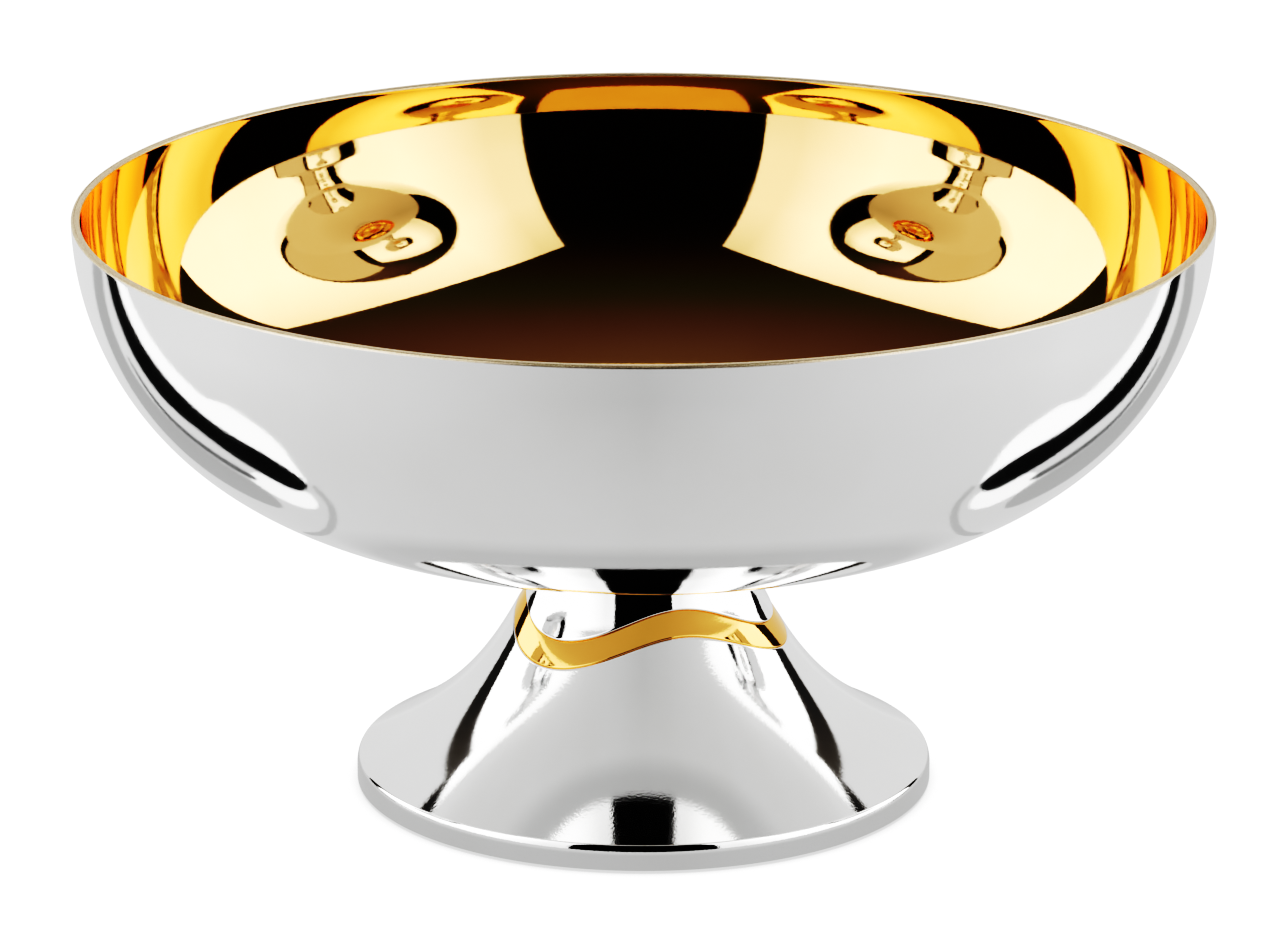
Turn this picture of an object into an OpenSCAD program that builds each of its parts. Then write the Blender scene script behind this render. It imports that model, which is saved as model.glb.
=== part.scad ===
// Footed punch bowl: silver outer shell, gilt liner, and a hollow foot
// with a gilt wave band around its neck, drawn together by one stud.
// Origin: centre of the surface that the foot stands on. +Z is up.

/* [Bowl] */
// Diameter over the rim
rim_d = 300; // [240:1:360]
// Height from the table to the rim
rim_h = 157.6; // [150:0.1:175]
// Depth of the outer shell, from the rim to its underside
bowl_depth = 85.7; // [78:0.1:92]
// Fullness of the wall near the rim: 2 is an ellipse, more is squarer
wall_power = 3.47; // [2.4:0.01:4.5]
// Fullness of the bottom: 2 is an ellipse, less is more pointed
bottom_power = 1.93; // [1.7:0.01:2.4]
// Thickness of the silver shell
shell_t = 1.2; // [1:0.1:1.6]
// Thickness of the gilt liner
liner_t = 1.2; // [1:0.1:1.6]
// Rounding of the two outer corners of the rim
rim_round = 0.7; // [0.2:0.1:0.9]

/* [Foot] */
// Diameter of the foot at its base
foot_d = 154; // [140:1:170]
// Height of the upright edge of the foot
edge_h = 7.35; // [6:0.05:9]
// How far the top of the upright edge draws in
edge_in = 1.0; // [0.5:0.1:1.5]
// Radius of the foot at the wave band
waist_r = 33.2; // [31:0.1:35]
// Height of that radius
waist_z = 50; // [49:0.1:52]
// Radius of the neck where it meets the bowl
neck_r = 27.8; // [26:0.1:29]
// Sheet thickness of the foot and neck
foot_t = 1.3; // [1:0.1:1.5]

/* [Wave band] */
// Height of the middle line of the band
band_z = 47.9; // [45:0.1:50]
// Rise and fall of the wave
band_wave = 4.6; // [1:0.1:6]
// Number of waves around the neck
band_lobes = 3; // [2:1:5]
// Direction of the first crest, from +X towards +Y
band_turn = -72.5; // [-180:0.5:180]
// Height of the band
band_h = 6.6; // [4:0.1:8]
// How far the gilt sits back from the silver
band_recess = 0.25; // [0.1:0.05:0.4]

/* [Hardware] */
// Thread diameter of the centre stud
stud_d = 8; // [6:1:8]
// Radius of the seat soldered under the bowl
seat_r = 19; // [15:0.5:20]
// Height of the top of the clamp plate
plate_z = 30; // [26:0.5:34]
// Thickness of the clamp plate
plate_t = 3; // [2:0.5:4]
// Thickness of the felt ring under the foot
felt_t = 1.5; // [1:0.1:2]
// How far the felt stands out below the metal
felt_proud = 0.5; // [0.3:0.1:0.8]

/* [Hidden] */

$fn = 120;
SILVER = [0.86, 0.87, 0.88];
GILT = [0.86, 0.66, 0.25];
BRASS = [0.78, 0.65, 0.38];
STEEL = [0.60, 0.61, 0.63];
RUBBER = [0.12, 0.12, 0.12];
FELT = [0.13, 0.22, 0.18];

rim_r = rim_d / 2;
foot_r = foot_d / 2;
stud_r = stud_d / 2;
bowl_steps = 40;       // straight facets down a bowl outline
flare_steps = 24;      // straight facets up the flare's outline
neck_steps = 10;       // straight facets up the neck's outline
wave_steps = 72;       // steps of the wave around the neck
arc_steps = 6;         // steps of a rounded corner

seat_h = 8;            // height of the bowl seat
stud_bite = 5;         // length of the stud inside the seat
gasket_t = 0.6;        // thickness of the neck gasket
sleeve_t = 1.5;        // thickness of the sleeve behind the band
sleeve_lap = 7;        // overlap of the sleeve past the band, up and down
slip = 0.1;            // easy fit between the sleeve and the shells
washer_t = 1.6;        // thickness of the flat washer
spring_t = 2.2;        // thickness of the spring washer
nut_h = 6.5;           // height of the hex nut
nut_flats = 13;        // width of the hex nut across its flats
stud_tail = 4;         // length of the stud that stands out of the nut
ring_w = 7;            // width of the metal edge ring
felt_lip = 1.2;        // metal left outside the felt ring

bowl_bottom = rim_h - bowl_depth;
collar_top = bowl_bottom - gasket_t;
plate_low = plate_z - plate_t;
spring_top = plate_low - washer_t;
nut_top = spring_top - spring_t;
nut_low = nut_top - nut_h;
stud_low = nut_low - stud_tail;

// ---- Outlines, as [radius, height] points ----

// A point of the bowl's outline, moved inward by inset. The angle a runs from 0 at
// the rim to 90 at the axis.
function bowl_point(inset, a) =
    [(rim_r - inset) * pow(cos(a), 2 / wall_power),
     rim_h - (bowl_depth - inset) * pow(sin(a), 2 / bottom_power)];

// The outline from a depth below the rim down to the axis.
function bowl_outline(inset, depth = 0) =
    let (first = asin(pow(depth / (bowl_depth - inset), bottom_power / 2)))
    [for (i = [0 : bowl_steps]) bowl_point(inset, first + (90 - first) * i / bowl_steps)];

// A quarter circle between two directions, for a rounded corner.
function corner(centre, radius, from, to) =
    [for (i = [0 : arc_steps])
        let (a = from + (to - from) * i / arc_steps)
        centre + radius * [cos(a), sin(a)]];

function reversed(list) = [for (i = [len(list) - 1 : -1 : 0]) list[i]];

// The foot's outline is two cubic curves that meet at the waist with one tangent:
// one from the top of the upright edge to the waist, and one up the neck to the bowl.
waist_slope = -0.52;   // change of radius per height at the waist
waist_reach = 5;       // height over which that slope leads into the neck
flare_curve = [[foot_r - edge_in, edge_h], [53.3, 19], [43.2, 30.8], [waist_r, waist_z]];
neck_curve = [[waist_r, waist_z],
              [waist_r + waist_slope * waist_reach, waist_z + waist_reach],
              [neck_r + 0.4, bowl_bottom - 7],
              [neck_r, bowl_bottom]];

function curve_point(p, u) =
    pow(1 - u, 3) * p[0] + 3 * pow(1 - u, 2) * u * p[1]
    + 3 * (1 - u) * pow(u, 2) * p[2] + pow(u, 3) * p[3];

function curve_tangent(p, u) =
    let (d = pow(1 - u, 2) * (p[1] - p[0]) + 2 * (1 - u) * u * (p[2] - p[1])
             + pow(u, 2) * (p[3] - p[2]))
    d / norm(d);

// A curve moved inward by a distance, at a right angle to itself.
function inset_point(p, inset, u) =
    let (t = curve_tangent(p, u))
    curve_point(p, u) + inset * [-t[1], t[0]];

function flare_outline(inset) =
    concat([for (i = [0 : flare_steps - 1]) inset_point(flare_curve, inset, i / flare_steps)],
           [for (i = [0 : neck_steps]) inset_point(neck_curve, inset, i / neck_steps)]);

// Radius of the flare at a height below the waist, found by halving its curve.
function flare_radius(inset, z, low = 0, high = 1, left = 24) =
    let (mid = (low + high) / 2)
    let (p = inset_point(flare_curve, inset, mid))
    left == 0 ? p[0]
    : p[1] < z ? flare_radius(inset, z, mid, high, left - 1)
    : flare_radius(inset, z, low, mid, left - 1);

function wave_z(a) = band_z + band_wave * cos(band_lobes * (a - band_turn));

// ---- Shared shapes ----

// A spun sheet between two distances inside the foot's outline.
module flare_sheet(outer, inner) {
    rotate_extrude()
        polygon(concat(flare_outline(outer), reversed(flare_outline(inner))));
}

// A ring whose underside follows the wave, and which reaches above the neck.
module above_wave(shift) {
    n = wave_steps;
    near = 8;
    far = 60;
    top = bowl_bottom + 5;
    ring = [for (i = [0 : n - 1]) 360 * i / n];
    points = concat(
        [for (a = ring) [near * cos(a), near * sin(a), wave_z(a) + shift]],
        [for (a = ring) [far * cos(a), far * sin(a), wave_z(a) + shift]],
        [for (a = ring) [far * cos(a), far * sin(a), top]],
        [for (a = ring) [near * cos(a), near * sin(a), top]]);
    faces = [for (side = [0 : 3]) for (i = [0 : n - 1]) for (half = [0, 1])
        let (b = ((side + 1) % 4) * n)
        let (a = side * n)
        let (j = (i + 1) % n)
        half == 0 ? [a + i, b + i, b + j] : [a + i, b + j, a + j]];
    polyhedron(points, faces);
}

module tube(r_in, r_out, z_low, z_high) {
    translate([0, 0, z_low])
        difference() {
            cylinder(r = r_out, h = z_high - z_low);
            translate([0, 0, -1])
                cylinder(r = r_in, h = z_high - z_low + 2);
        }
}

// ---- Bowl ----

module bowl_shell() {
    outer = bowl_outline(0, rim_round);
    inner = bowl_outline(shell_t);
    round_c = [outer[0][0] - rim_round, rim_h - rim_round];
    color(SILVER)
        rotate_extrude()
            polygon(concat(reversed(outer), corner(round_c, rim_round, 10, 90), inner));
}

module gilt_liner() {
    outer = bowl_outline(shell_t);
    inner = bowl_outline(shell_t + liner_t, rim_round);
    round_c = [inner[0][0] + rim_round, rim_h - rim_round];
    color(GILT)
        rotate_extrude()
            polygon(concat(reversed(outer), corner(round_c, rim_round, 90, 170), inner));
}

// Boss soldered under the bowl; it centres the neck and holds the stud.
module bowl_seat() {
    color(BRASS)
        translate([0, 0, bowl_bottom - seat_h])
            difference() {
                cylinder(r = seat_r, h = seat_h);
                translate([0, 0, -1])
                    cylinder(r = stud_r, h = stud_bite + 1);
            }
}

module centre_stud() {
    top = bowl_bottom - seat_h + stud_bite;
    chamfer = 0.8;
    color(STEEL)
        rotate_extrude()
            polygon([[0, stud_low], [stud_r - chamfer, stud_low], [stud_r, stud_low + chamfer],
                     [stud_r, top], [0, top]]);
}

// ---- Neck ----

module neck_gasket() {
    color(RUBBER)
        tube(seat_r + slip, neck_r - 0.2, collar_top, bowl_bottom);
}

module neck_collar() {
    flange_t = 1.2;
    color(SILVER)
        union() {
            difference() {
                intersection() {
                    flare_sheet(0, foot_t);
                    above_wave(band_h / 2);
                }
                translate([0, 0, collar_top])
                    cylinder(r = rim_r, h = 10);
            }
            tube(seat_r + slip, neck_r - foot_t / 2, collar_top - flange_t, collar_top);
        }
}

module wave_band() {
    color(GILT)
        difference() {
            intersection() {
                flare_sheet(band_recess, foot_t);
                above_wave(-band_h / 2);
            }
            above_wave(band_h / 2);
        }
}

// Sleeve behind the band: it lines up the collar, the band and the flare.
module core_sleeve() {
    reach = band_wave + band_h / 2 + sleeve_lap;
    color(BRASS)
        intersection() {
            flare_sheet(foot_t + slip, foot_t + slip + sleeve_t);
            translate([0, 0, band_z - reach])
                cylinder(r = rim_r, h = 2 * reach);
        }
}

// ---- Foot ----

module foot_flare() {
    color(SILVER)
        difference() {
            flare_sheet(0, foot_t);
            above_wave(-band_h / 2);
            translate([0, 0, edge_h - 10])
                cylinder(r = rim_r, h = 10);
            translate([0, 0, bowl_bottom - 10])
                cylinder(r = rim_r, h = 10);
        }
}

module foot_edge_ring() {
    low = felt_proud;
    bend = edge_h - 3;
    inner_r = foot_r - ring_w;
    side = [for (i = [0 : arc_steps])
        let (a = 90 * i / arc_steps)
        [foot_r - edge_in * (1 - cos(a)), bend + (edge_h - bend) * sin(a)]];
    color(SILVER)
        rotate_extrude()
            polygon(concat([[foot_r, low]], side,
                [[inner_r, edge_h], [inner_r, felt_t], [foot_r - felt_lip, felt_t],
                 [foot_r - felt_lip, low]]));
}

module base_felt() {
    color(FELT)
        tube(foot_r - ring_w, foot_r - felt_lip, 0, felt_t);
}

// ---- Fastening ----

// Plate that wedges up into the flare and takes the pull of the stud.
module clamp_plate() {
    top_r = flare_radius(foot_t, plate_z) - 0.05;
    low_r = flare_radius(foot_t, plate_low) - 0.05;
    color(BRASS)
        difference() {
            translate([0, 0, plate_low])
                cylinder(r1 = low_r, r2 = top_r, h = plate_t);
            translate([0, 0, plate_low - 1])
                cylinder(r = stud_r + 0.4, h = plate_t + 2);
        }
}

module flat_washer() {
    color(STEEL)
        tube(stud_r + 0.2, 2.1 * stud_r, spring_top, plate_low);
}

module spring_washer() {
    split = 1.2;
    color(STEEL)
        difference() {
            tube(stud_r + 0.1, 1.7 * stud_r, nut_top, spring_top);
            translate([0, -split / 2, nut_top - 1])
                cube([3 * stud_r, split, spring_t + 2]);
        }
}

module hex_nut() {
    corner_r = nut_flats / 2 / cos(30);
    color(STEEL)
        translate([0, 0, nut_low])
            difference() {
                intersection() {
                    cylinder(r = corner_r, h = nut_h, $fn = 6);
                    cylinder(r1 = nut_flats / 2 - 0.2, r2 = nut_flats / 2 + nut_h, h = nut_h);
                    cylinder(r1 = nut_flats / 2 + nut_h, r2 = nut_flats / 2 - 0.2, h = nut_h);
                }
                translate([0, 0, -1])
                    cylinder(r = stud_r, h = nut_h + 2);
            }
}

bowl_shell();
gilt_liner();
bowl_seat();
centre_stud();
neck_gasket();
neck_collar();
wave_band();
core_sleeve();
foot_flare();
foot_edge_ring();
clamp_plate();
flat_washer();
spring_washer();
hex_nut();
base_felt();
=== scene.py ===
"""Looks of the footed punch bowl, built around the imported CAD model."""
import math

import bpy
import numpy as np
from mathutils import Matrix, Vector, noise


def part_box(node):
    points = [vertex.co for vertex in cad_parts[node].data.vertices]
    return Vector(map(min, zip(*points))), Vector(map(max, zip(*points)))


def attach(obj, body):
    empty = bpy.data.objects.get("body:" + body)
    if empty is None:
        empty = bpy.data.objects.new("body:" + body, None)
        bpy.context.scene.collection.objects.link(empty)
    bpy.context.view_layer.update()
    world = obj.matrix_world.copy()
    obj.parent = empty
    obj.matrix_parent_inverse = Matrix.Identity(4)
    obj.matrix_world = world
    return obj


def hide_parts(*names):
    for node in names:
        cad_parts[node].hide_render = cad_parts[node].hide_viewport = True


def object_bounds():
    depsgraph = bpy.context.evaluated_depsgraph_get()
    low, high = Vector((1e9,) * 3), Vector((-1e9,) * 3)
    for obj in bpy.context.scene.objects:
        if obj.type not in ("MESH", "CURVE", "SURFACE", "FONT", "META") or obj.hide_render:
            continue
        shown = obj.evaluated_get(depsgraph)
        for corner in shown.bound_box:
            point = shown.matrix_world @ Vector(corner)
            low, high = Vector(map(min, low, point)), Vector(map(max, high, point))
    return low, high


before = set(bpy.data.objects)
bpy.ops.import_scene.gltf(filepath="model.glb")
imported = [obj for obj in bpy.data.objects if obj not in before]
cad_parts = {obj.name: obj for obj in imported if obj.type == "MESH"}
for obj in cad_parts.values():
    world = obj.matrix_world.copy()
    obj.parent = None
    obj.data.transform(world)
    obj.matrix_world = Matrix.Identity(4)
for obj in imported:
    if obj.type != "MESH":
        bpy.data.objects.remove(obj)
cad_low, cad_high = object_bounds()
MM = 0.001

# ---- The CAD model's own outlines, in millimetres ----

RIM_R = 150.0
RIM_H = cad_high.z / MM
BOWL_DEPTH = 85.7
WALL_POWER = 3.47
BOTTOM_POWER = 1.93
SHEET_T = 1.2
RIM_ROUND = 0.7
FOOT_R = 77.0
EDGE_H = 7.35         # top of the foot's upright edge
EDGE_BEND = 3.0       # height of the bend at the top of that edge
EDGE_IN = 1.0         # how far the bend moves the edge inward
EDGE_BODY = 7.0       # thickness of the edge ring
FOOT_T = 1.3
FLARE = ((76.0, 7.35), (53.3, 19.0), (43.2, 30.8), (33.2, 50.0))
NECK = ((33.2, 50.0), (30.6, 55.0), (28.2, 64.9), (27.8, 71.9))
BAND_Z = 47.9
BAND_WAVE = 4.6
BAND_LOBES = 3
BAND_TURN = math.radians(-72.5)
BAND_H = 6.6
COLLAR_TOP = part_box("neck_collar")[1].z / MM
COLLAR_BORE = 19.1
FLANGE_T = 1.2

SEGMENTS = 480        # steps round the axis
ROWS_SEEN = 140       # steps along a bowl outline that shows
ROWS_HIDDEN = 50      # steps along one between the two skins


def bowl_outline(inset, count):
    """The bowl's outline from rim to axis, moved inward by inset, with even spacing."""
    a = np.linspace(0, math.pi / 2, 4000)
    r = (RIM_R - inset) * np.clip(np.cos(a), 0, 1) ** (2 / WALL_POWER)
    z = RIM_H - (BOWL_DEPTH - inset) * np.sin(a) ** (2 / BOTTOM_POWER)
    length = np.r_[0, np.cumsum(np.hypot(np.diff(r), np.diff(z)))]
    even = np.linspace(0, length[-1], count)
    points = np.c_[np.interp(even, length, r), np.interp(even, length, z)]
    points[-1, 0] = 0
    return points


def below(points, depth):
    """The part of a bowl outline that starts at a depth below the rim."""
    z = RIM_H - depth
    kept = points[points[:, 1] < z - 0.02]
    r = np.interp(-z, -points[:, 1], points[:, 0])
    return np.vstack([[(r, z)], kept])


def corner(centre, radius, first, last, steps=8):
    """Points on an arc from one angle to another, in degrees."""
    a = np.radians(np.linspace(first, last, steps + 1))
    return np.c_[centre[0] + radius * np.cos(a), centre[1] + radius * np.sin(a)]


def bezier(controls, u):
    """Points and unit directions along a cubic curve."""
    a, b, c, d = np.array(controls)
    u = u[:, None]
    v = 1 - u
    point = v**3 * a + 3 * v**2 * u * b + 3 * v * u**2 * c + u**3 * d
    along = v**2 * (b - a) + 2 * v * u * (c - b) + u**2 * (d - c)
    return point, along / np.linalg.norm(along, axis=1)[:, None]


class Outline:
    """The foot's outline by length along it: radius, height and outward normal."""

    def __init__(self):
        u = np.linspace(0, 1, 1500)
        low, low_dir = bezier(FLARE, u)
        high, high_dir = bezier(NECK, u)
        self.p = np.vstack([low, high[1:]])
        t = np.vstack([low_dir, high_dir[1:]])
        self.n = np.c_[t[:, 1], -t[:, 0]]
        self.s = np.r_[0, np.cumsum(np.linalg.norm(np.diff(self.p, axis=0), axis=1))]

    def at(self, s, inset):
        """Radius and height at lengths s, moved inward by inset."""
        r = np.interp(s, self.s, self.p[:, 0])
        z = np.interp(s, self.s, self.p[:, 1])
        nr = np.interp(s, self.s, self.n[:, 0])
        nz = np.interp(s, self.s, self.n[:, 1])
        return r - inset * nr, z - inset * nz

    def length_at(self, z):
        return np.interp(z, self.p[:, 1], self.s)

    def inner_start(self, inset, z):
        """Length at which the moved outline passes a height."""
        s = np.linspace(0, 30, 3000)
        return float(np.interp(z, self.at(s, inset)[1], s))


foot = Outline()


def wave_z(a):
    """Height of the wave band's middle at an angle round the axis."""
    return BAND_Z + BAND_WAVE * np.cos(BAND_LOBES * (a - BAND_TURN))


# ---- Meshes ----


def finish_mesh(name, points, faces, sharp=35):
    """An object of these points, in millimetres, smooth below the sharp angle in degrees."""
    mesh = bpy.data.meshes.new(name)
    mesh.from_pydata(np.asarray(points) * MM, [], faces)
    mesh.validate()
    mesh.shade_smooth()
    mesh.set_sharp_from_angle(angle=math.radians(sharp))
    obj = bpy.data.objects.new(name, mesh)
    bpy.context.scene.collection.objects.link(obj)
    return obj


def grid_faces(columns, rows, offset=0):
    """Quads of a grid that closes round both ways."""
    c, r = np.meshgrid(np.arange(columns), np.arange(rows), indexing="ij")
    c2, r2 = (c + 1) % columns, (r + 1) % rows
    quads = np.stack([c * rows + r, c2 * rows + r, c2 * rows + r2, c * rows + r2], -1)
    return (quads.reshape(-1, 4) + offset).tolist()


def spin(name, outline, segments=SEGMENTS, sharp=35):
    """A closed outline spun about Z. It runs anticlockwise, and may start and end on the axis."""
    outline = np.asarray(outline, float)
    on_axis = outline[0, 0] < 1e-6 and outline[-1, 0] < 1e-6
    ring = outline[1:-1] if on_axis else outline
    rows = len(ring)
    a = np.linspace(0, 2 * math.pi, segments, endpoint=False)
    points = np.stack([
        np.outer(np.cos(a), ring[:, 0]),
        np.outer(np.sin(a), ring[:, 0]),
        np.tile(ring[:, 1], (segments, 1)),
    ], -1).reshape(-1, 3)
    faces = grid_faces(segments, rows)
    if on_axis:
        faces = [f for i, f in enumerate(faces) if i % rows != rows - 1]
        low, high = len(points), len(points) + 1
        points = np.vstack([points, (0, 0, outline[0, 1]), (0, 0, outline[-1, 1])])
        for i in range(segments):
            j = (i + 1) % segments
            faces.append((low, j * rows, i * rows))
            faces.append((high, i * rows + rows - 1, j * rows + rows - 1))
    return finish_mesh(name, points, faces, sharp)


def wavy(name, section, sharp=35):
    """A closed ring whose section, a function of the angle, gives radius and height arrays."""
    columns = []
    for a in np.linspace(0, 2 * math.pi, SEGMENTS, endpoint=False):
        r, z = section(a)
        columns.append(np.c_[r * math.cos(a), r * math.sin(a), z])
    rows = len(columns[0])
    return finish_mesh(name, np.vstack(columns), grid_faces(SEGMENTS, rows), sharp)


# ---- Bowl ----

LIP_T = 0.18          # thickness of the gilding lip that lies over the rim
LIP_IN = 0.8          # how far that lip stays inside the bowl's outline


def silver_bowl():
    """The outer skin, with a step at the rim that the gilding lip fills."""
    outer = below(bowl_outline(0, ROWS_SEEN), RIM_ROUND)
    inner = bowl_outline(SHEET_T, ROWS_HIDDEN)
    centre = (outer[0][0] - RIM_ROUND, RIM_H - RIM_ROUND)
    step_r = RIM_R - LIP_IN
    rim = [(step_r, RIM_H), (step_r, RIM_H - LIP_T), (inner[0][0], RIM_H - LIP_T)]
    inner = below(inner, LIP_T)[1:]
    rounded_rim = corner(centre, RIM_ROUND, 8, 90)
    return spin("silver_bowl", np.vstack([outer[::-1], rounded_rim, rim, inner]))


def gilt_liner():
    """The inner skin, with a thin lip over the rim."""
    outer = below(bowl_outline(SHEET_T, ROWS_HIDDEN), LIP_T)
    inner = below(bowl_outline(2 * SHEET_T, ROWS_SEEN), RIM_ROUND)
    lip_r = RIM_R - LIP_IN
    centre = (inner[0][0] + RIM_ROUND, RIM_H - RIM_ROUND)
    lip = [(lip_r - 0.02, RIM_H - LIP_T), (lip_r - 0.03, RIM_H - 0.06), (lip_r - 0.09, RIM_H)]
    rounded_rim = corner(centre, RIM_ROUND, 90, 172)
    return spin("gilt_liner_spun", np.vstack([outer[::-1], lip, rounded_rim, inner]))


# ---- Foot ----


def spread(first, last, count, edge=0.0):
    """Lengths from first to last, closer together at the last end where edge is more than 0."""
    t = np.linspace(0, 1, count)
    return first + (last - first) * (t * (1 - edge) + edge * np.sin(t * math.pi / 2))


def lip_arc(s_edge, radius, side, steps=5):
    """Lengths and insets round a lip: side is +1 for an upper edge and -1 for a lower one."""
    a = np.linspace(0, math.pi / 2, steps + 1)
    return s_edge - side * radius * (1 - np.sin(a)), radius * (1 - np.cos(a))


FLARE_LIP = 0.45      # radius of the silver lips on either side of the wave band
INNER_LOW = foot.inner_start(FOOT_T, EDGE_H)
# The band's face, as depths behind the foot's outline: at its middle, the difference from there to
# either edge, the crown, and the roll at the very edges.
BAND_INSET, BAND_TILT, BAND_CROWN, BAND_ROLL = 0.20, 0.27, 0.15, 0.34


def flare_section(a):
    """The foot's flare, up to the lower edge of the wave band."""
    s_edge = foot.length_at(wave_z(a) - BAND_H / 2)
    s = spread(0, s_edge - FLARE_LIP, 110, 0.25)
    lip_s, lip_in = lip_arc(s_edge, FLARE_LIP, 1)
    back = spread(INNER_LOW, s_edge, 40)[::-1]
    lengths = np.r_[s, lip_s[1:], back]
    insets = np.r_[np.zeros(len(s)), lip_in[1:], np.full(len(back), FOOT_T)]
    return foot.at(lengths, insets)


def collar_section(a):
    """The neck, down to the upper edge of the wave band, with the flange at its top."""
    s_edge = foot.length_at(wave_z(a) + BAND_H / 2)
    s_top = foot.length_at(COLLAR_TOP)
    lip_s, lip_in = lip_arc(s_edge, FLARE_LIP, -1)
    s = spread(s_top, s_edge + FLARE_LIP, 50, 0.25)[::-1]
    r, z = foot.at(np.r_[lip_s[::-1], s[1:]], np.r_[lip_in[::-1], np.zeros(len(s) - 1)])
    flange_low = COLLAR_TOP - FLANGE_T
    s_flange = foot.length_at(flange_low)
    back_r, back_z = foot.at(spread(s_flange, s_edge, 16), FOOT_T)
    back_z[0] = flange_low
    r = np.r_[r, COLLAR_BORE, COLLAR_BORE, back_r]
    z = np.r_[z, COLLAR_TOP, flange_low, back_z]
    return r, z


def band_section(a):
    """The wave band. w runs from -1 at its lower edge to 1 at its upper edge."""
    middle = wave_z(a)
    s_low = foot.length_at(middle - BAND_H / 2)
    s_high = foot.length_at(middle + BAND_H / 2)
    w = np.sin(np.linspace(-1, 1, 33) * math.pi / 2)
    s = (s_low + s_high) / 2 + (s_high - s_low) / 2 * w
    rolled = BAND_ROLL * np.clip((np.abs(w) - 0.90) / 0.10, 0, 1) ** 2
    face = BAND_INSET + BAND_TILT * w + BAND_CROWN * w**2 + rolled
    back = np.linspace(s_high, s_low, 8)
    return foot.at(np.r_[s, back], np.r_[face, np.full(len(back), FOOT_T)])


def edge_ring():
    """The foot's upright edge, bent inward at the top, with the groove that holds the felt."""
    bend_low = EDGE_H - EDGE_BEND
    a = np.linspace(0, math.pi / 2, 25)
    bend = np.c_[FOOT_R - EDGE_IN * (1 - np.cos(a)), bend_low + EDGE_BEND * np.sin(a)]
    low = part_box("foot_edge_ring")[0].z / MM
    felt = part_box("base_felt")[1] / MM
    inner, eased = FOOT_R - EDGE_BODY, 0.2
    wall = np.c_[np.full(9, FOOT_R), np.linspace(low + eased, bend_low, 9)][:-1]
    start = corner((FOOT_R - eased, low + eased), eased, -90, 0, 4)[:-1]
    rest = [(inner, EDGE_H), (inner, felt.z), (felt.x, felt.z), (felt.x, low)]
    return spin("foot_edge", np.vstack([start, wall, bend, rest]))


def felt_ring():
    """The felt ring, with a soft uneven surface."""
    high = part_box("base_felt")[1]
    r_out, top = high.x / MM, high.z / MM
    r_in = FOOT_R - EDGE_BODY
    outline = np.vstack([
        corner((r_in + 0.35, 0.35), 0.35, 180, 270, 4),
        np.c_[np.linspace(r_in + 0.6, r_out - 0.6, 16), np.zeros(16)],
        corner((r_out - 0.35, 0.35), 0.35, 270, 360, 4),
        [(r_out, top), (r_in, top)],
    ])
    obj = spin("felt_foot_ring", outline, 720, 60)
    for v in obj.data.vertices:
        if v.co.z < (top - 0.1) * MM:
            bump = noise.noise(v.co * 900) * 0.09 + noise.noise(v.co * 2600) * 0.05
            v.co.z += max(0.0, 0.07 + bump) * MM
    return obj


def threaded_stud():
    """The stud, with the helical thread cut into it."""
    low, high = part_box("centre_stud")
    bottom, top, radius = low.z / MM, high.z / MM, high.x / MM
    pitch, depth, chamfer, around = 1.25, 0.62, 0.8, 48
    rows = int((top - bottom) / pitch * 10) + 1
    z = np.linspace(bottom, top, rows)
    a = np.linspace(0, 2 * math.pi, around, endpoint=False)
    phase = (z[None, :] / pitch - a[:, None] / (2 * math.pi)) % 1
    cut = depth * np.clip(1.25 * np.abs(2 * phase - 1) - 0.125, 0, 1)
    limit = np.minimum(radius, radius - chamfer + (z - bottom))[None, :]
    r = np.minimum(radius - cut, limit)
    x, y = r * np.cos(a)[:, None], r * np.sin(a)[:, None]
    ring = np.stack([x, y, np.tile(z, (around, 1))], -1)
    points = ring.reshape(-1, 3)
    faces = [f for i, f in enumerate(grid_faces(around, rows)) if i % rows != rows - 1]
    faces.append([i * rows for i in range(around)][::-1])
    faces.append([i * rows + rows - 1 for i in range(around)])
    return finish_mesh("threaded_stud", points, faces, 30)


# ---- Materials ----


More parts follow.
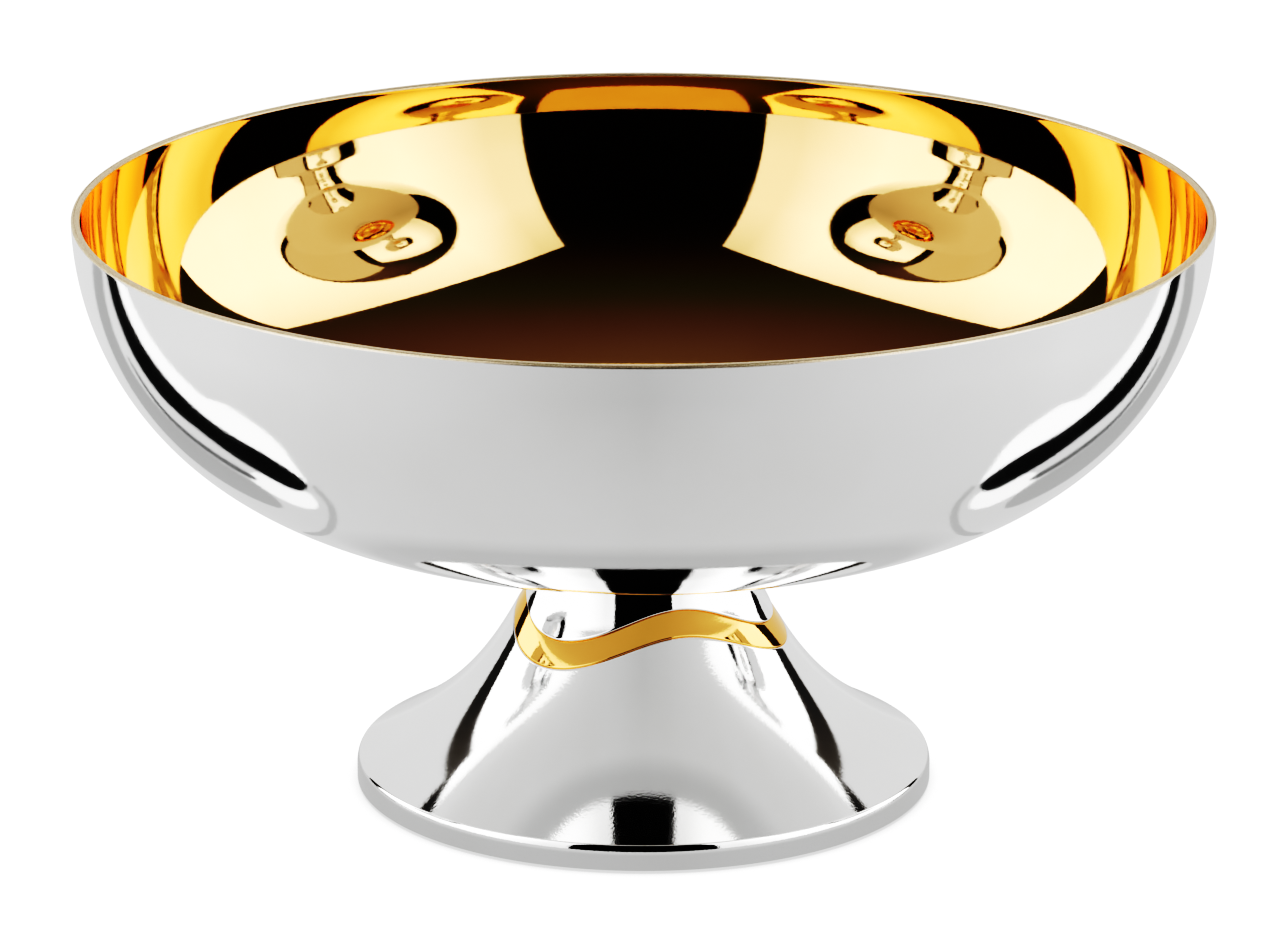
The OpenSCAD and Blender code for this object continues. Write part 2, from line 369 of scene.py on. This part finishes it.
class Nodes:
    """A node tree with short calls."""

    def __init__(self, tree):
        self.tree = tree
        tree.nodes.clear()

    def add(self, kind, inputs=(), **settings):
        node = self.tree.nodes.new(kind)
        for key, value in settings.items():
            setattr(node, key, value)
        for key, value in dict(inputs).items():
            if isinstance(value, bpy.types.NodeSocket):
                self.tree.links.new(value, node.inputs[key])
            else:
                node.inputs[key].default_value = value
        return node

    def math(self, operation, a, b=0.0):
        return self.add("ShaderNodeMath", {0: a, 1: b}, operation=operation).outputs[0]

    def noise(self, vector, scale, detail=2.0, roughness=0.5):
        return self.add("ShaderNodeTexNoise", {
            "Vector": vector, "Scale": scale, "Detail": detail, "Roughness": roughness,
        }).outputs["Fac"]

    def remap(self, value, low, high, to_low, to_high):
        return self.add("ShaderNodeMapRange", {
            "Value": value, "From Min": low, "From Max": high,
            "To Min": to_low, "To Max": to_high,
        }).outputs["Result"]

    def bump(self, height, strength, distance):
        return self.add("ShaderNodeBump", {
            "Height": height, "Strength": strength, "Distance": distance,
        }).outputs[0]

    def principled(self, **sockets):
        """The surface. An underscore in a socket's name stands for a space."""
        inputs = {key.replace("_", " "): value for key, value in sockets.items()}
        shader = self.add("ShaderNodeBsdfPrincipled", inputs)
        self.add("ShaderNodeOutputMaterial", {0: shader.outputs[0]})

    def mix(self, factor, a, b):
        return self.add("ShaderNodeMix", {0: factor, 6: a, 7: b}, data_type="RGBA").outputs[2]

    def ramp(self, value, stops):
        node = self.add("ShaderNodeValToRGB", {"Fac": value})
        while len(node.color_ramp.elements) < len(stops):
            node.color_ramp.elements.new(1)
        for element, (at, level) in zip(node.color_ramp.elements, stops):
            element.position = at
            element.color = (level, level, level, 1)
        return node.outputs["Color"]


def material_with(name, build):
    """A material whose nodes a function makes."""
    material = bpy.data.materials.new(name)
    material.use_nodes = True
    build(Nodes(material.node_tree))
    return material


# The rubbed rim, where silver shows through the gilding: its two colours and its top and bottom.
RIM_DARK, RIM_LIGHT = (0.66, 0.57, 0.43, 1), (0.84, 0.76, 0.63, 1)
RUBBED_FROM, RUBBED_TO = (RIM_H - 0.90) * MM, (RIM_H - 0.50) * MM


def metal(name, bright, dull, roughness, spun, grain, anisotropy=0.0):
    """Polished or brushed metal: tarnish, spun rings, fine grain, scratches and a rubbed rim.

    spun and grain are the heights of the turning rings and of the grain in the bump.
    """
    def build(n):
        place = n.add("ShaderNodeTexCoord").outputs["Object"]
        xyz = n.add("ShaderNodeSeparateXYZ", {0: place}).outputs
        squares = [n.math("MULTIPLY", xyz[i], xyz[i]) for i in (0, 1)]
        radius = n.math("SQRT", n.math("ADD", *squares))
        turn = n.math("MULTIPLY", n.math("ARCTAN2", xyz[1], xyz[0]), 0.004)
        rings = n.add("ShaderNodeCombineXYZ", {0: radius, 1: turn, 2: xyz[2]}).outputs[0]
        drawn_out = n.add("ShaderNodeMapping", {
            "Vector": place, "Rotation": (0.5, 0.3, 0.9), "Scale": (1, 14, 1),
        }).outputs[0]
        tarnish = n.noise(place, 26, 4)
        smudge = n.noise(place, 90, 3)
        lines = n.noise(rings, 2600, 3, 0.6)
        fine = n.noise(place, 3200, 2)
        orange_peel = n.noise(place, 1300, 2)
        hair = n.noise(drawn_out, 160, 4)
        scratch = n.remap(n.math("ABSOLUTE", n.math("SUBTRACT", hair, 0.5)), 0.0, 0.006, 1, 0)

        colour = n.mix(n.remap(tarnish, 0.4, 0.75, 0, 1), (*bright, 1), (*dull, 1))
        smudged = n.remap(smudge, 0.3, 0.7, roughness * 0.75, roughness * 1.25)
        rough = n.math("ADD", smudged, n.math("MULTIPLY", scratch, 0.04))

        wander = n.math("MULTIPLY", n.math("SUBTRACT", smudge, 0.5), 0.0003)
        rubbed = n.remap(n.math("ADD", xyz[2], wander), RUBBED_FROM, RUBBED_TO, 0, 1)
        brushed = n.remap(lines, 0.3, 0.7, 0.36, 0.50)
        satin = n.mix(n.remap(fine, 0.35, 0.65, 0, 1), RIM_DARK, RIM_LIGHT)
        colour = n.mix(rubbed, colour, satin)
        polished = n.math("MULTIPLY", rough, n.math("SUBTRACT", 1.0, rubbed))
        rough = n.math("ADD", polished, n.math("MULTIPLY", brushed, rubbed))

        peel = n.math("ADD", fine, n.math("MULTIPLY", orange_peel, 3.0))
        height = n.math("ADD", n.math("MULTIPLY", lines, spun), n.math("MULTIPLY", peel, grain))
        n.principled(
            Base_Color=colour, Metallic=1.0, Roughness=rough, Anisotropic=anisotropy,
            Normal=n.bump(height, 0.12, 0.00002),
        )

    return material_with(name, build)


def felt(n):
    """Matted grey wool: fibres, cloudy tone and a soft sheen."""
    place = n.add("ShaderNodeTexCoord").outputs["Object"]
    drawn_out = n.add("ShaderNodeMapping", {"Vector": place, "Scale": (1, 5, 1)}).outputs[0]
    fibre = n.noise(place, 2200, 6, 0.7)
    cloud = n.noise(place, 260, 3)
    strand = n.noise(drawn_out, 1500, 4)
    tone = n.remap(n.math("ADD", fibre, cloud), 0.75, 1.25, 0, 1)
    height = n.math("ADD", fibre, n.math("MULTIPLY", strand, 0.6))
    n.principled(
        Base_Color=n.mix(tone, (0.013, 0.013, 0.015, 1), (0.055, 0.055, 0.062, 1)),
        Roughness=n.remap(cloud, 0.3, 0.7, 0.85, 1.0), Normal=n.bump(height, 0.8, 0.0002),
        Sheen_Weight=0.4, Sheen_Roughness=0.5, Specular_IOR_Level=0.2,
    )


def rubber(n):
    """Black rubber with a fine grain and a pale bloom."""
    place = n.add("ShaderNodeTexCoord").outputs["Object"]
    grain = n.noise(place, 1800, 4)
    bloom = n.noise(place, 120, 3)
    n.principled(
        Base_Color=n.mix(bloom, (0.012, 0.012, 0.012, 1), (0.030, 0.029, 0.028, 1)),
        Roughness=n.remap(bloom, 0.3, 0.7, 0.55, 0.75), Normal=n.bump(grain, 0.3, 0.0001),
    )


MATERIALS = {
    "silver": metal(
        "silver_polished", bright=(0.94, 0.94, 0.938), dull=(0.915, 0.912, 0.905),
        roughness=0.06, spun=0.5, grain=1.1,
    ),
    "gilt": metal(
        "gilt_polished", bright=(0.985, 0.695, 0.385), dull=(0.955, 0.66, 0.35),
        roughness=0.035, spun=0.15, grain=0.2,
    ),
    # The wave band: the liner's gilding in a darker, more orange copy, painted shade for the band
    # mirroring the grey table.
    "gilt_band": metal(
        "gilt_band_painted_shade", bright=(0.93, 0.605, 0.28), dull=(0.90, 0.57, 0.25),
        roughness=0.05, spun=0.3, grain=0.6,
    ),
    "brass": metal(
        "brass_turned", bright=(0.80, 0.60, 0.30), dull=(0.66, 0.47, 0.22),
        roughness=0.28, spun=2.5, grain=1.0, anisotropy=0.3,
    ),
    "steel": metal(
        "steel_zinc", bright=(0.62, 0.62, 0.63), dull=(0.50, 0.50, 0.50),
        roughness=0.33, spun=1.0, grain=2.0,
    ),
    "rubber": material_with("rubber_black", rubber),
    "felt": material_with("felt_grey", felt),
}

# Each piece, its material, the record's slot and the CAD node that it stands for.
PIECES = (
    (silver_bowl(), "silver", "silver", "bowl_shell"),
    (gilt_liner(), "gilt", "gilt", "gilt_liner"),
    (wavy("neck_collar_spun", collar_section), "silver", "silver", "neck_collar"),
    (wavy("wave_band_crowned", band_section), "gilt_band", "gilt", "wave_band"),
    (wavy("foot_flare_spun", flare_section), "silver", "silver", "foot_flare"),
    (edge_ring(), "silver", "silver", "foot_edge_ring"),
    (felt_ring(), "felt", "felt", "base_felt"),
    (threaded_stud(), "steel", "steel", "centre_stud"),
)
for piece, look, slot, node in PIECES:
    piece.data.materials.append(MATERIALS[look])
    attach(piece, "root")
    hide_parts(node)

# CAD nodes that keep their own mesh.
KEPT = {
    "bowl_seat": "brass", "neck_gasket": "rubber", "core_sleeve": "brass",
    "clamp_plate": "brass", "flat_washer": "steel", "spring_washer": "steel", "hex_nut": "steel",
}
for node, slot in KEPT.items():
    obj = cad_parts[node]
    obj.data.materials.clear()
    obj.data.materials.append(MATERIALS[slot])

# ---- Studio: what the polished metal mirrors, in metres unless said otherwise ----

WALL_AZIMUTH = 60       # heading of each side wall's normal through the bowl's axis, in degrees
WALL_D = 0.8
WALL_FRONT, WALL_REAR = 0.50, 1.80      # how far a wall runs to the front and to the rear
WALL_LOW, WALL_TOP = -0.4, 1.75
SLANT_X, SLANT_Y = 0.5, math.sqrt(0.75)     # a wall's direction towards the front
BACKDROP_Y, BACKDROP_HALF, BACKDROP_LOW, BACKDROP_TOP = 1.5, 1.47, -0.6, 2.9
BACKDROP_LEVEL = 0.74
TABLE_R, FLOOR_R = 1.1, 12
WHITE_LEVEL = 1.6       # the floor and the background that the camera sees
CUP_PLACE = (0.379, -0.018)
# The cup's outline: radius and height in millimetres.
CUP = (
    (83, 166), (86, 172), (86, 198), (81, 206), (60, 221), (44, 239), (41, 257), (50, 273),
    (80, 289), (125, 315), (160, 349), (178, 389), (181, 425), (174, 460), (162, 487),
    (156, 493), (150, 491), (147, 480),
)
CUP_INSIDE = 470
# Shapes on the left of the table, in millimetres, of painted light and shade that the bowl mirrors
# as painted reflections; the right has their mirror image.
BLACK = (
    (-160, -58), (-176, -60), (-205, -46), (-240, -10), (-280, 30), (-320, 70), (-387, 137),
    (-467, 212), (-590, 325), (-575, 372), (-453, 268), (-387, 205), (-320, 142), (-267, 84),
    (-227, 26), (-187, -14), (-158, -38),
)
WHITE = (
    (-162, -58), (-185, -72), (-213, -78), (-245, -68), (-276, -44), (-288, -12), (-312, 12),
    (-350, 48), (-420, 112), (-500, 186), (-600, 280), (-580, 340), (-467, 230), (-387, 150),
    (-320, 85), (-270, 40), (-230, 0), (-195, -30),
)
GREY = (
    (-165, 5), (-200, 45), (-240, 105), (-300, 180), (-387, 258), (-540, 385), (-520, 440),
    (-380, 335), (-270, 235), (-190, 140), (-150, 55), (-143, 15),
)
SPARK = ((-158, -46), (-180, -16), (-172, 6), (-146, -8), (-138, -30), (-146, -46))
LINE_A = (
    (-178, -2), (-206, 34), (-245, 92), (-300, 154), (-298, 160), (-240, 100), (-200, 42),
    (-173, 4),
)
LINE_B = (
    (-156, -66), (-136, -54), (-122, -24), (-114, 24), (-112, 90), (-115, 90), (-118, 25),
    (-126, -20), (-139, -49), (-157, -61),
)
# Each shape's height and brightness. They lie on each other just above the table. The floor, which
# only the camera sees, and they, which only the bowl mirrors, don't hide one another.
TABLE_Z, FLOOR_Z = -0.0006, -0.0003
PATCHES = (
    ("grey", GREY, -0.0005, 0.47), ("white", WHITE, -0.0004, 1.35), ("spark", SPARK, -0.0004, 1.20),
    ("line_a", LINE_A, -0.0003, 0.25), ("line_b", LINE_B, -0.0003, 0.50),
    ("black", BLACK, -0.0002, 0.05),
)
CURVE_STEPS = 6         # points along each side of a rounded shape


def emitter(name, level):
    """A plain emitting material. level is a number, or a function of the node helper."""
    def build(n):
        strength = level(n) if callable(level) else level
        shader = n.add("ShaderNodeEmission", {"Strength": strength})
        n.add("ShaderNodeOutputMaterial", {0: shader.outputs[0]})

    return material_with(name, build)


def panel(name, corners, material, seen=False):
    """One flat face that either the camera sees or the bowl mirrors."""
    mesh = bpy.data.meshes.new(name)
    mesh.from_pydata([Vector(c) for c in corners], [], [tuple(range(len(corners)))])
    obj = bpy.data.objects.new(name, mesh)
    bpy.context.scene.collection.objects.link(obj)
    mesh.materials.append(material)
    obj.visible_camera = seen
    obj.visible_glossy = obj.visible_diffuse = not seen
    obj.visible_shadow = False


def heading(azimuth):
    """Unit vector in the table's plane. 0 looks at the camera and 90 along +X."""
    a = math.radians(azimuth)
    return Vector((math.sin(a), -math.cos(a), 0))


def disc(radius, z, count=96):
    turns = np.arange(count) * 2 * math.pi / count
    return [(radius * math.cos(a), radius * math.sin(a), z) for a in turns]


def rounded(points):
    """The same closed shape with its corners run together in smooth curves."""
    p = np.array(points, float)
    out = []
    for i in range(len(p)):
        a, b, c, d = (p[(i + k) % len(p)] for k in range(-1, 3))
        for t in np.linspace(0, 1, CURVE_STEPS, endpoint=False):
            square = (2 * a - 5 * b + 4 * c - d) * t**2
            cube = (3 * b - a - 3 * c + d) * t**3
            out.append(0.5 * (2 * b + (c - a) * t + square + cube))
    return out


def position(n):
    place = n.add("ShaderNodeNewGeometry").outputs["Position"]
    return place, n.add("ShaderNodeSeparateXYZ", {0: place}).outputs


def wall_level(n):
    """Brightest at the height of the bowl, and dimmer at the floor, the top and the front."""
    _, xyz = position(n)
    height = n.remap(xyz[2], WALL_LOW, WALL_TOP, 0, 1)
    up = n.ramp(height, ((0, 0.60), (0.40, 0.84), (0.62, 0.86), (1.0, 0.62)))
    across = n.math("MULTIPLY", n.math("ABSOLUTE", xyz[0]), -SLANT_X)
    along = n.math("ADD", across, n.math("MULTIPLY", xyz[1], -SLANT_Y))
    return n.math("MULTIPLY", up, n.remap(along, 0.02, 0.34, 2.1, 1.42))


def table_level(n):
    """Painted light on the table: grey towards the camera, lighter towards the walls, and even
    close to the foot, with a painted shadow of the foot in a ring just round it.
    """
    place, xyz = position(n)
    azimuth = n.math("ABSOLUTE", n.math("ARCTAN2", xyz[0], n.math("MULTIPLY", xyz[1], -1.0)))
    part = n.math("DIVIDE", azimuth, math.pi)
    far = n.ramp(part, ((0, 0.515), (0.18, 0.62), (0.45, 0.78), (1.0, 0.76)))
    near = n.ramp(part, ((0, 0.60), (0.25, 0.62), (0.5, 0.64), (1.0, 0.66)))
    distance = n.add("ShaderNodeVectorMath", {0: place}, operation="LENGTH").outputs["Value"]
    # Painted shadow of the foot: the table is darker in a ring just round it.
    shade = n.remap(distance, 0.095, 0.125, 0.84, 1.05)
    near = n.mix(shade, (0, 0, 0, 1), near)
    return n.mix(n.remap(distance, 0.09, 0.40, 0, 1), near, far)


def patch_level(level):
    """A patch shows in a first reflection. In any further one, the plain table shows there."""
    def build(n):
        depth = n.add("ShaderNodeLightPath").outputs["Ray Depth"]
        further = n.math("GREATER_THAN", depth, 1.5)
        return n.mix(further, (level, level, level, 1), table_level(n))

    return build


def cup(name, side):
    """A plain silver cup beside the bowl, which the gilding mirrors and the camera doesn't see."""
    low = CUP[0][1]
    outline = rounded(CUP)[:-CURVE_STEPS]       # without the side that would close it
    obj = spin(name, np.vstack([[(0, low)], outline, [(0, CUP_INSIDE)]]), 128, 60)
    obj.location = (CUP_PLACE[0] * side, CUP_PLACE[1], 0)
    obj.data.materials.append(material_with(name, lambda n: n.principled(
        Base_Color=(0.9, 0.9, 0.9, 1), Metallic=1.0, Roughness=0.03,
    )))
    obj.visible_camera = obj.visible_shadow = obj.visible_diffuse = False


for side, label in ((-1, "left"), (1, "right")):
    base = heading(WALL_AZIMUTH * side) * WALL_D
    along = Vector((-side * SLANT_X, -SLANT_Y, 0))
    front, rear = base + along * WALL_FRONT, base - along * WALL_REAR
    up, down = Vector((0, 0, WALL_TOP)), Vector((0, 0, WALL_LOW))
    wall = (front + down, rear + down, rear + up, front + up)
    panel(f"wall_{label}", wall, emitter(f"wall_{label}", wall_level))
    cup(f"cup_{label}", side)
    # Patches of painted light and shade on the table, seen only in the bowl's reflections.
    for shape, outline, height, level in PATCHES:
        name = f"{shape}_{label}"
        corners = [(-side * x * MM, y * MM, height) for x, y in rounded(outline)]
        panel(name, corners, emitter(name, patch_level(level)))

backdrop = [
    (x, BACKDROP_Y, z) for x, z in (
        (-BACKDROP_HALF, BACKDROP_LOW), (BACKDROP_HALF, BACKDROP_LOW),
        (BACKDROP_HALF, BACKDROP_TOP), (-BACKDROP_HALF, BACKDROP_TOP),
    )
]
panel("backdrop", backdrop, emitter("backdrop", BACKDROP_LEVEL))
panel("table", disc(TABLE_R, TABLE_Z), emitter("table", table_level))


def floor(n):
    """White with a thin contact shadow, and clear from below."""
    near = n.add("ShaderNodeAmbientOcclusion", {"Distance": 0.006}, samples=8).outputs["AO"]
    level = n.remap(near, 0.30, 0.85, 0.7, WHITE_LEVEL)
    white = n.add("ShaderNodeEmission", {"Strength": level}).outputs[0]
    clear = n.add("ShaderNodeBsdfTransparent").outputs[0]
    behind = n.add("ShaderNodeNewGeometry").outputs["Backfacing"]
    mixed = n.add("ShaderNodeMixShader", {0: behind, 1: white, 2: clear}).outputs[0]
    n.add("ShaderNodeOutputMaterial", {0: mixed})


panel("floor", disc(FLOOR_R, FLOOR_Z), material_with("floor", floor), seen=True)


def surroundings(n):
    """White to the camera. The bowl mirrors a dim warm room with a soft glow high at the back."""
    by_camera = n.add("ShaderNodeLightPath").outputs["Is Camera Ray"]
    toward = n.add("ShaderNodeTexCoord").outputs["Generated"]
    high_back = (0, 0.6, 0.8)
    over = n.add("ShaderNodeVectorMath", {0: toward, 1: high_back}, operation="DOT_PRODUCT")
    over = n.math("MAXIMUM", over.outputs["Value"], 0.0)
    glow = n.math("MULTIPLY", n.math("POWER", over, 2.0), 0.22)
    white = n.add("ShaderNodeBackground", {"Color": (1, 1, 1, 1), "Strength": WHITE_LEVEL})
    room = n.add("ShaderNodeBackground", {
        "Color": (1.0, 0.94, 0.88, 1), "Strength": n.math("ADD", glow, 0.02),
    })
    mixed = n.add("ShaderNodeMixShader", {0: by_camera, 1: room.outputs[0], 2: white.outputs[0]})
    n.add("ShaderNodeOutputWorld", {0: mixed.outputs[0]})


scene = bpy.context.scene
world = bpy.data.worlds.new("studio")
world.use_nodes = True
scene.world = world
surroundings(Nodes(world.node_tree))

# Enough bounces for the reflections of reflections inside the bowl.
scene.cycles.max_bounces = 16
scene.cycles.glossy_bounces = 14
scene.view_settings.view_transform = "Standard"
scene.view_settings.look = "None"
# Photographic contrast: scene-linear level in units of TONE_WHITE, and the level shown. The curve
# keeps its own ends at 0 and 1.
TONE_WHITE = 1.5
TONE = (
    (0.043, 0.003), (0.10, 0.017), (0.213, 0.23), (0.307, 0.46), (0.40, 0.64), (0.627, 0.855),
    (0.873, 0.98),
)
scene.view_settings.use_curve_mapping = True
tone = scene.view_settings.curve_mapping
tone.white_level = (TONE_WHITE,) * 3
combined = tone.curves[3]
for at, shown in TONE:
    combined.points.new(at, shown)
tone.update()

# ---- Camera ----

# The place and lens at which the bowl looks as it does in the photo.
CAMERA_PLACE = (-0.00095, -1.6846, 0.6034)
CAMERA_DOWN = 17.107        # degrees below level
CAMERA_LENS = 186.5

lens = bpy.data.cameras.new("camera")
lens.sensor_width = 36
lens.lens = CAMERA_LENS
lens.clip_start, lens.clip_end = 0.05, 50
camera = bpy.data.objects.new("camera", lens)
scene.collection.objects.link(camera)
camera.location = CAMERA_PLACE
camera.rotation_euler = (math.radians(90 - CAMERA_DOWN), 0, 0)
scene.camera = camera
